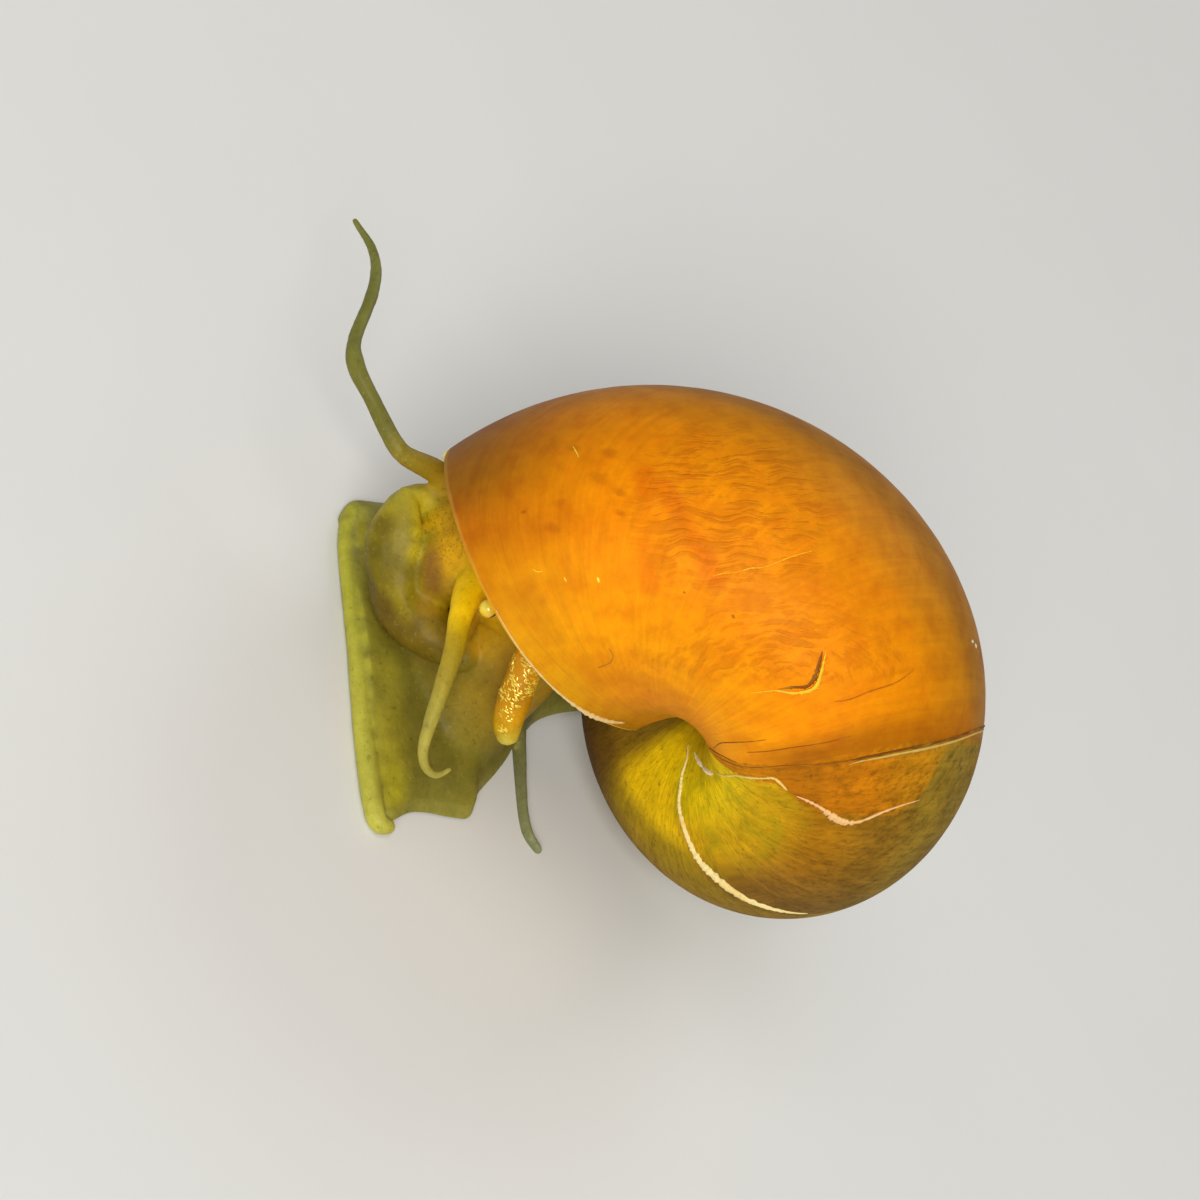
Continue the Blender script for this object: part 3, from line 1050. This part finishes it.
# %% Scatter tree
def fleck_tree():
    tree, given = start_tree("gold_flecks", {
        "Geometry": "Geometry", "Flecks for each square millimetre": 42.0, "Length": 0.46 * MM,
        "Width": 0.17 * MM, "Thickness": 0.09 * MM, "Smallest share": 0.3, "Seed": 5,
        "Material": "Material"})
    chance = result(tree, "GeometryNodeInputNamedAttribute", {"Name": "fleck"}, data_type="FLOAT")
    clumps = result(tree, "ShaderNodeTexNoise", {"Scale": 900.0, "Detail": 1.0})
    clumped = result(tree, "ShaderNodeMapRange", {"Value": clumps, "From Min": 0.46, "From Max": 0.58})
    density = chance * clumped * (given["Flecks for each square millimetre"] * 1e6)
    spread = node(tree, "GeometryNodeDistributePointsOnFaces", {
        "Mesh": given["Geometry"], "Density": density, "Seed": given["Seed"]}, distribute_method="RANDOM")
    flake = result(tree, "GeometryNodeMeshIcoSphere", {"Radius": 0.5, "Subdivisions": 1})
    share = result(tree, "FunctionNodeRandomValue", {
        "Min": given["Smallest share"], "Max": 1.0, "Seed": given["Seed"]}, 1, data_type="FLOAT")
    size = vector_maths("SCALE", combined(given["Length"], given["Width"], given["Thickness"]), share)
    spin = result(tree, "FunctionNodeRandomValue", {"Seed": 11, 2: -0.7, 3: 0.7}, 1, data_type="FLOAT")
    spun = result(tree, "FunctionNodeAxisAngleToRotation", {"Axis": (0.0, 0.0, 1.0), "Angle": spin})
    turned = result(tree, "FunctionNodeRotateRotation", {
        "Rotation": Value(spread.outputs["Rotation"]), "Rotate By": spun}, rotation_space="LOCAL")
    return end_tree(result(tree, "GeometryNodeInstanceOnPoints", {
        "Points": Value(spread.outputs["Points"]), "Instance": flake, "Rotation": turned, "Scale": size}),
        Material=given["Material"])


print("scatter tree ready")

# %% [markdown]
# ## Helpers for finishes
# Every finish below is a node tree on one shader. These helpers keep the trees short: an attribute
# of the mesh, the place on the object, a mix of two colours, a row of colours and a bump.

# %% Finish helpers
def attribute(tree, name, output="Vector"):
    return result(tree, "ShaderNodeAttribute", output=output, attribute_name=name)


def object_place(tree):
    return result(tree, "ShaderNodeTexCoord", output="Object")


def mix(share, low, high, blend="MIX"):
    """A share of the second colour mixed into the first."""
    low, high = ((*tone, 1.0) if isinstance(tone, tuple) else tone for tone in (low, high))
    return result(share.tree, "ShaderNodeMix", {0: share, 6: low, 7: high}, 2,
                  data_type="RGBA", blend_type=blend)


def blend_stops(value, stops):
    """A colour ramp from a few (position, colour) stops."""
    made = node(value.tree, "ShaderNodeValToRGB", {"Fac": value})
    band = made.color_ramp
    band.interpolation = "EASE"
    while len(band.elements) < len(stops):
        band.elements.new(0.5)
    for element, (position, tone) in zip(band.elements, stops):
        element.position = position
        element.color = (*tone, 1.0)
    return Value(made.outputs[0])


def bump(height, distance, below=None, strength=1.0):
    """A bump, over another one where that is given."""
    inputs = {"Height": height, "Distance": distance, "Strength": strength}
    if below:
        inputs["Normal"] = below
    return result(height.tree, "ShaderNodeBump", inputs)


def start_finish(name):
    material = bpy.data.materials.new(name)
    material.use_nodes = True
    material.node_tree.nodes.clear()
    return material, material.node_tree


def end_finish(material, **sockets):
    """Add the shader and the output; sockets are named with _ for each space."""
    shader = result(material.node_tree, "ShaderNodeBsdfPrincipled",
                    {key.replace("_", " "): value for key, value in sockets.items()})
    node(material.node_tree, "ShaderNodeOutputMaterial", {"Surface": shader})
    return material


def give(thing, material):
    thing.data.materials.clear()
    thing.data.materials.append(material)


print("finish helpers ready")

# %% [markdown]
# ## The finish of the shell
# The shell is thin, amber horn over lime. New growth is a clear orange. It is more yellow towards the
# navel, and past each growth stop it turns olive and brown, with a film of algae. All of this
# follows the growth of the shell, so the colours are chosen by the attribute stored above: the turn
# says how old a place is, and the way round the ring says which side it is on.

# %% Colours of the shell
# Colours round the ring, at their angles in degrees: the newest growth, then its share by the lip.
NEWEST_BANDS = (
    (150, (0.40, 0.16, 0.004)), (195, (0.50, 0.20, 0.003)), (215, (0.70, 0.24, 0.001)),
    (237, (0.83, 0.305, 0.0003)), (254, (0.84, 0.29, 0.0003)), (271, (0.83, 0.26, 0.0003)),
    (292, (0.80, 0.25, 0.0005)), (312, (0.71, 0.23, 0.0005)), (334, (0.56, 0.205, 0.001)),
    (350, (0.38, 0.15, 0.003)), (380, (0.42, 0.17, 0.004)), (420, (0.34, 0.14, 0.006)))
LIP_BANDS = (
    (185, (0.30, 0.14, 0.004)), (215, (0.58, 0.26, 0.003)), (237, (0.68, 0.29, 0.002)),
    (256, (0.62, 0.24, 0.001)), (275, (0.48, 0.145, 0.001)), (297, (0.31, 0.115, 0.001)),
    (325, (0.28, 0.10, 0.002)), (420, (0.30, 0.12, 0.005)))
# Between the growth stops, as far as the flakes and past them.
TAWNY_BANDS = (
    (215, (0.48, 0.17, 0.002)), (240, (0.52, 0.19, 0.001)), (262, (0.37, 0.12, 0.001)),
    (290, (0.40, 0.13, 0.001)), (310, (0.40, 0.16, 0.003)), (330, (0.34, 0.17, 0.006)),
    (360, (0.30, 0.16, 0.012)), (420, (0.28, 0.14, 0.010)))
OLIVE_BANDS = (
    (205, (0.50, 0.32, 0.003)), (228, (0.76, 0.54, 0.002)), (250, (0.50, 0.285, 0.002)),
    (277, (0.32, 0.133, 0.002)), (302, (0.21, 0.102, 0.006)), (320, (0.24, 0.145, 0.012)),
    (338, (0.21, 0.13, 0.014)), (360, (0.24, 0.14, 0.012)), (420, (0.22, 0.12, 0.012)))
# The oldest whorls: gold by the navel, golden olive outside and brown along the seam.
OLD_BANDS = (
    (205, (0.50, 0.30, 0.004)), (225, (0.70, 0.46, 0.002)), (248, (0.67, 0.415, 0.002)),
    (264, (0.31, 0.195, 0.005)), (278, (0.25, 0.15, 0.008)), (300, (0.22, 0.125, 0.010)),
    (330, (0.30, 0.19, 0.012)), (360, (0.38, 0.24, 0.016)), (405, (0.32, 0.19, 0.014)),
    (438, (0.15, 0.08, 0.012)))
# Two soft red-orange folds, one upright and one slanting away from it: turn and degrees of each end.
SOFT_FOLDS = (((-0.131, 262), (-0.1135, 296)), ((-0.172, 276), (-0.1245, 294)))
# Freckles: turn, degrees, size and strength.
FRECKLES = (
    (-0.089, 291, 0.052, 0.34), (-0.093, 300.5, 0.046, 0.34), (-0.1015, 287.5, 0.034, 0.40),
    (-0.103, 281, 0.030, 0.36), (-0.0605, 273, 0.044, 0.34), (-0.074, 301, 0.034, 0.26),
    (-0.066, 281, 0.040, 0.24), (-0.043, 278.5, 0.018, 0.60), (-0.1515, 237, 0.009, 0.70),
    (-0.152, 219.5, 0.012, 0.80), (-0.1565, 266, 0.009, 0.75), (-0.1945, 270, 0.012, 0.75))
print("bands of colour:", len(NEWEST_BANDS + LIP_BANDS + TAWNY_BANDS + OLIVE_BANDS + OLD_BANDS))

# %% What the shell finish reads
class Growth:
    """What is known of each place on the shell: its turn, its side of the ring and a few noises."""

    def __init__(self, tree):
        self.place = attribute(tree, "place")
        self.cos_a, self.sin_a, self.turn = separated(self.place)
        self.spot = object_place(tree)
        # The way round the ring from 90 degrees, as a share of it.
        self.round_ring = maths("FRACT", maths("ARCTAN2", self.sin_a, self.cos_a) / TURN + 0.75)
        self.patchy = grain(self.spot, 2.2 * MM, 4.0, 0.6)
        self.fine = grain(self.spot, 0.45 * MM, 5.0, 0.65)
        self.ragged = (self.fine - 0.5) * 0.012
        # The turn past each growth stop, which isn't straight across the ring.
        self.since_stop = self.turn + 0.322 + (1.0 - self.facing(267.0)) * 0.077
        self.since_lip = self.turn + 0.599 + self.facing(330.0) * -0.0935
        self.is_new = (self.since_stop + self.ragged).step(-0.002, 0.002)

    def facing(self, degrees):
        """1 on the side of the ring at this angle, -1 opposite."""
        a = math.radians(degrees)
        return self.cos_a * math.cos(a) + self.sin_a * math.sin(a)

    def bands(self, stops):
        """Colours round the ring, each at its own angle in degrees."""
        return blend_stops(self.round_ring, sorted(
            (((angle - 90.0) % 360.0) / 360.0, tone) for angle, tone in stops))


print("growth can be read at each place")

# %% Tone of the newest growth
def newest_tone(g):
    """From the lip back to the growth stop: orange, redder near both."""
    tone = mix(g.turn.step(-0.11, -0.008), g.bands(NEWEST_BANDS), g.bands(LIP_BANDS))
    tone = mix(g.since_stop.step(0.030, 0.005) * g.facing(295.0).step(0.55, 0.9), tone,
               (0.42, 0.135, 0.001))
    tone = mix(g.patchy.step(0.40, 0.68) * 0.40, tone, (0.90, 0.72, 1.0), "MULTIPLY")
    blotches = grain(g.spot, 1.3 * MM, 3.0)
    tone = mix(blotches.step(0.42, 0.70) * 0.30, tone, (0.92, 0.66, 1.0), "MULTIPLY")
    for low, high in SOFT_FOLDS:
        start = on_shell(*low)
        lie = on_shell(*high) - start
        reach = vector_maths("SUBTRACT", g.spot, start)
        share = vector_maths("DOT_PRODUCT", reach, lie / lie.length_squared)
        share = maths("ADD", share, 0.0, use_clamp=True)
        gap = vector_maths("DISTANCE", reach, vector_maths("SCALE", lie, share))
        gap = gap + (g.patchy - 0.5) * (1.4 * MM)
        tone = mix(gap.step(1.15 * MM, 0.25 * MM) * 0.70, tone, (0.86, 0.62, 1.0), "MULTIPLY")
    return tone


print("soft folds:", len(SOFT_FOLDS))

# %% Tones of the older growth
def middle_tone(g):
    """Between the stops: tawny as far as the flakes, and past them olive."""
    flaked = g.facing(288.0).step(0.82, 0.985) * 0.026 + g.facing(345.0).step(0.87, 0.97) * -0.020
    past_flakes = (g.since_stop + flaked + g.ragged).step(-0.020, -0.026)
    tone = mix(past_flakes, g.bands(TAWNY_BANDS), g.bands(OLIVE_BANDS))
    tone = mix(g.since_stop.step(-0.085, -0.17) * g.facing(305.0).step(0.6, 0.92) * 0.7, tone,
               (0.13, 0.07, 0.012))
    green = g.patchy.step(0.48, 0.66) * g.facing(240.0).step(0.82, 0.96) * past_flakes
    return mix(green * 0.3, tone, (0.36, 0.33, 0.003))


def oldest_tone(g):
    """The oldest whorls, stained brown by the old lip and plain olive at the apex."""
    tone = mix(g.turn.step(-0.685, -0.745) * g.facing(255.0).step(0.55, 0.85) * 0.85,
               g.bands(OLD_BANDS), (0.075, 0.030, 0.005))
    return mix(g.turn.step(-3.1, -3.6), tone, (0.28, 0.17, 0.010))


def growth_tone(g):
    grown = mix(g.is_new, middle_tone(g), newest_tone(g))
    return mix((g.since_lip + g.ragged).step(0.006, -0.006), grown, oldest_tone(g))


print("three ages of the shell have their tones")

# %% Wrinkles and freckles of the shell
def wrinkles_of(g):
    """Wrinkles in the horny outer layer: arcs round a place by the lifted flake, lines further out."""
    away = vector_maths("SUBTRACT", g.spot, on_shell(-0.257, 267.0))
    along = vector_maths("DOT_PRODUCT", away, VIEW_RIGHT) * 0.62
    above = vector_maths("DOT_PRODUCT", away, VIEW_UP)
    swirl = grain(g.spot, 3.5 * MM) - 0.5
    reach = maths("SQRT", along * along + above * above)
    arcs = combined((reach + swirl * (1.6 * MM)) / (0.42 * MM), maths("ARCTAN2", above, along) * 2.6)
    arcs = grain(arcs, 1.0, 3.0).step(0.44, 0.60)
    arcs = arcs * (reach.step(9.0 * MM, 4.0 * MM) * above.step(0.0, 1.5 * MM))
    lines = combined(along / (2.2 * MM), (above + swirl * (1.8 * MM)) / (0.38 * MM))
    lines = grain(lines, 1.0, 3.0).step(0.44, 0.60)
    centre = on_shell(-0.1655, 299.5)
    lines = lines * vector_maths("DISTANCE", g.spot, centre).step(9.5 * MM, 4.5 * MM)
    return maths("MAXIMUM", arcs, lines) * (g.is_new * g.patchy.step(0.34, 0.50))


def freckles_of(g):
    stretched = vector_maths("MULTIPLY", g.place, (1.0, 1.0, 6.0))
    freckles = 0.0
    for at, degrees, size, strength in FRECKLES:
        a = math.radians(degrees)
        far = vector_maths("DISTANCE", stretched, (math.cos(a), math.sin(a), at * 6.0))
        far = far + (g.fine - 0.5) * size
        freckles = maths("MAXIMUM", freckles, far.step(size, size * 0.2) * strength)
    return freckles


print("freckles:", len(FRECKLES))

# %% Shell finish
def shell_finish():
    material, tree = start_finish("shell_amber")
    g = Growth(tree)
    # Growth lines: fine streaks that run along the ring.
    streaks = grain(combined(g.cos_a * 1.6, g.sin_a * 1.6, g.since_stop * 260.0), 1.0, 4.0, 0.6)
    # A film of algae, thin on new growth and thick on old.
    film = grain(combined(g.cos_a * 14.0, g.sin_a * 14.0, g.turn * 240.0), 1.0, 6.0, 0.75)
    age = (g.facing(245.0).step(1.05, 0.45) * 0.30 + 0.42) * (1.0 - g.is_new) + 0.08
    shade = (film.step(0.42, 0.72) * -0.9 + 0.35) * age + 1.0
    rough = g.is_new * -0.45 + 0.85
    for uneven in (streaks, g.patchy):
        shade = shade * ((0.5 - uneven) * rough + 1.0)
    tone = vector_maths("SCALE", growth_tone(g), shade)
    tone = mix(g.fine.step(0.60, 0.70) * age * 1.1, tone, (0.09, 0.05, 0.008))
    wrinkles = wrinkles_of(g)
    tone = mix(wrinkles * 0.36, tone, (0.46, 0.115, 0.0005))
    tone = mix(freckles_of(g), tone, (0.30, 0.055, 0.001))
    # Lip: a pale rim on its low side; the inner wall is pale and smooth.
    rim = (g.turn + g.ragged * 0.12).step(-0.0026, -0.0012)
    tone = mix(rim * (g.facing(212.0).step(0.78, 0.97) * 0.6 + 0.2), tone, (0.74, 0.50, 0.09))
    tone = mix(attribute(tree, "inner", "Fac"), tone, (0.80, 0.42, 0.02))
    relief = bump(streaks, 0.05 * MM, strength=0.7)
    relief = bump(wrinkles, 0.06 * MM, relief, 0.8)
    relief = bump(g.fine, 0.02 * MM, relief, 0.6)
    return end_finish(material, Base_Color=tone, Roughness=age * 0.30 + (g.patchy * 0.16 + 0.40),
                      Normal=relief, Subsurface_Weight=0.10, Subsurface_Radius=(1.0, 0.35, 0.05),
                      Subsurface_Scale=0.9 * MM, IOR=1.17)


shell_material = shell_finish()
give(shell, shell_material)
print("shell finish:", len(shell_material.node_tree.nodes), "nodes")

# %% [markdown]
# ## The finish of the growth marks
# The raised edges are bare lime, cream and a little chalky, with fine grains of dirt in them.

# %% Finish of the marks
def marks_finish():
    material, tree = start_finish("bare_lime")
    spot = object_place(tree)
    crumbs = grain(spot, 0.35 * MM, 4.0, 0.7)
    stain = grain(spot, 1.6 * MM, 3.0)
    tone = mix(stain.step(0.45, 0.7) * 0.35, attribute(tree, "tone", "Color"), (0.74, 0.42, 0.05))
    tone = mix(crumbs.step(0.58, 0.72) * 0.4, tone, (0.36, 0.20, 0.03))
    return end_finish(material, Base_Color=tone, Roughness=stain * 0.3 + 0.5,
                      Normal=bump(crumbs, 0.05 * MM), Subsurface_Weight=0.1,
                      Subsurface_Radius=(1.0, 0.6, 0.3), Subsurface_Scale=0.4 * MM, IOR=1.3)


give(marks, marks_finish())
print("marks finished")

# %% [markdown]
# ## The finish of the flesh
# Wet flesh is soft inside and glossy outside. The tone comes from the attribute blended above. Fine
# dark grains of pigment lie over it, thicker on the crown of the head, and light goes a little way
# in, which the shader's subsurface gives. A thin clear coat stands for the film of slime.

# %% Flesh finish
CROWN = Vector((-4.6, -8.2, 11.2)) * MM


def flesh_finish():
    material, tree = start_finish("wet_flesh")
    spot = object_place(tree)
    cloudy = grain(spot, 2.4 * MM, 4.0, 0.6)
    dusty = grain(spot, 0.55 * MM, 5.0, 0.7)
    shade = (cloudy * -0.9 + 1.45) * (dusty * -0.5 + 1.25)
    tone = vector_maths("SCALE", attribute(tree, "tone", "Color"), shade)
    tone = mix(dusty.step(0.60, 0.70) * 0.4, tone, (0.05, 0.03, 0.004))
    on_crown = vector_maths("DISTANCE", spot, CROWN).step(4.0 * MM, 1.5 * MM)
    dots = grain(spot, 0.19 * MM).step(0.55, 0.66)
    tone = mix(dots * (on_crown * 0.45 + 0.10), tone, (0.22, 0.11, 0.003))
    pale_grains = grain(spot, 0.32 * MM, 3.0, 0.6).step(0.60, 0.70)
    tone = mix(pale_grains * 0.20, tone, (0.50, 0.42, 0.14))
    relief = bump(dusty, 0.05 * MM, strength=0.6)
    relief = bump(grain(spot, 0.16 * MM, 3.0, 0.6), 0.02 * MM, relief, 0.7)
    return end_finish(material, Base_Color=tone, Roughness=dusty * 0.24 + 0.40, Normal=relief,
                      Subsurface_Weight=0.25, Subsurface_Radius=(1.0, 0.55, 0.1),
                      Subsurface_Scale=0.7 * MM, Coat_Weight=0.04, Coat_Roughness=0.25, IOR=1.26)


give(skin, flesh_finish())
print("flesh finished")

# %% [markdown]
# ## Gold, horn and eyes
# The flecks are metal-bright but a little rough, so that they catch the light at many angles. The lid
# is dark brown horn, darker in the dips between its growth steps. The eyes are amber round a dark
# pupil, under a clear coat.

# %% Finishes of the small parts
def gold_finish():
    material, tree = start_finish("gold_fleck")
    shine = grain(object_place(tree), 0.3 * MM)
    return end_finish(material, Base_Color=mix(shine, (0.92, 0.58, 0.02), (1.0, 0.84, 0.12)),
                      Metallic=0.35, Roughness=shine * 0.2 + 0.18, Coat_Weight=0.6, Coat_Roughness=0.08)


def lid_finish():
    material, tree = start_finish("brown_horn")
    growth = attribute(tree, "growth", "Fac")
    fibres = grain(object_place(tree), 0.5 * MM, 4.0, 0.6)
    bands = grain(combined(growth * 26.0), 1.0)
    tone = blend_stops(growth, [(0.0, (0.05, 0.024, 0.008)), (0.6, (0.13, 0.06, 0.018)),
                                (0.9, (0.24, 0.12, 0.035)), (1.0, (0.34, 0.20, 0.07))])
    tone = mix(bands * 0.6, tone, (0.045, 0.022, 0.008))
    tone = mix(fibres.step(0.55, 0.75) * 0.4, tone, (0.30, 0.19, 0.07))
    relief = bump(bands, 0.04 * MM, bump(fibres, 0.03 * MM, strength=0.5), 0.5)
    return end_finish(material, Base_Color=tone, Roughness=fibres * 0.22 + 0.34, Normal=relief,
                      Subsurface_Weight=0.05, Subsurface_Scale=0.4 * MM, Coat_Weight=0.2,
                      Coat_Roughness=0.2)


def eye_finish():
    material, tree = start_finish("amber_eye")
    flaws = grain(object_place(tree), 0.25 * MM, 3.0)
    edge = attribute(tree, "away", "Fac") + (flaws - 0.5) * 0.05
    tone = blend_stops(edge, [(0.10, (0.015, 0.008, 0.003)), (0.16, (0.16, 0.06, 0.003)),
                              (0.24, (0.96, 0.60, 0.02)), (0.6, (1.0, 0.76, 0.06))])
    return end_finish(material, Base_Color=tone, Roughness=0.15, Coat_Weight=1.0, Coat_Roughness=0.03,
                      Subsurface_Weight=0.3, Subsurface_Radius=(1.0, 0.5, 0.1),
                      Subsurface_Scale=0.4 * MM)


gold = gold_finish()
give(lid, lid_finish())
give(eyes, eye_finish())
print("small parts finished")

# %% Set the flecks
flecks = new_object("gold_flecks", ground)
scatter = flecks.modifiers.new("scatter", "NODES")
scatter.node_group = fleck_tree()
set_inputs(scatter, {"Material": gold})
flecks = to_plain_mesh(flecks, "gold_flecks")
give(flecks, gold)
print("fleck faces:", len(flecks.data.polygons))

# %% [markdown]
# ## Join the pieces to the frame
# Each piece rides on the one body, stands for the solids that it covers, and names its finish.

# %% Ride, replace and name the slots
FLESH_NODES = [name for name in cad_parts
               if name not in ("shell", "operculum", "eye_left", "eye_right")]
for piece, slot, nodes in ((shell, "shell", ["shell"]), (marks, "shell", []),
                           (skin, "skin", FLESH_NODES), (flecks, "siphon", []),
                           (lid, "operculum", ["operculum"]), (eyes, "eye", ["eye_left", "eye_right"])):
    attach(piece, "root")
    if nodes:
        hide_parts(*nodes)
print("pieces:", 6, "flesh nodes replaced:", len(FLESH_NODES))

# %% [markdown]
# ## Floor and light
# A pale matt floor and large soft lamps: one high on the side of the camera, one from the left to
# lift the shade, and a pale sky. Soft light keeps the orange full and the wet parts show small
# highlights.

# %% Stage
FLOOR_HALF = 1.5
corners = [(x * FLOOR_HALF, y * FLOOR_HALF, 0.0) for x, y in ((-1, -1), (1, -1), (1, 1), (-1, 1))]
floor_mesh = bpy.data.meshes.new("floor")
floor_mesh.from_pydata(corners, [], [(0, 1, 2, 3)])
floor = new_object("floor", floor_mesh)


def floor_finish():
    material, tree = start_finish("pale_floor")
    mottle = grain(object_place(tree), 30.0 * MM, 3.0)
    return end_finish(material, Base_Color=mix(mottle, (0.74, 0.74, 0.72), (0.78, 0.78, 0.765)),
                      Roughness=0.75)


give(floor, floor_finish())

# Lamps: place in metres, size, power in watts, colour.
LAMPS = {"key": ((0.52, -0.52, 0.52), 0.40, 6.0, (1.0, 0.985, 0.95)),
         "fill": ((0.05, -0.30, 0.75), 0.6, 1.5, (1.0, 0.99, 0.97)),
         "back": ((-0.40, 0.50, 0.55), 0.5, 1.3, (1.0, 0.98, 0.95))}
AIM = Vector((0.0, 0.005, 0.018))
for name, (place, size, power, tint) in LAMPS.items():
    lamp = bpy.data.lights.new(name, "AREA")
    lamp.size = size
    lamp.energy = power
    lamp.color = tint
    holder = new_object(name, lamp)
    holder.location = place
    holder.rotation_euler = (Vector(place) - AIM).to_track_quat("Z", "Y").to_euler()

world = bpy.data.worlds.new("pale_sky")
world.use_nodes = True
sky = next(n for n in world.node_tree.nodes if n.type == "BACKGROUND")
sky.inputs["Color"].default_value = (0.93, 0.93, 0.91, 1.0)
sky.inputs["Strength"].default_value = 0.26
bpy.context.scene.world = world
bpy.context.scene.view_settings.view_transform = "Standard"
print("lamps:", len(LAMPS))
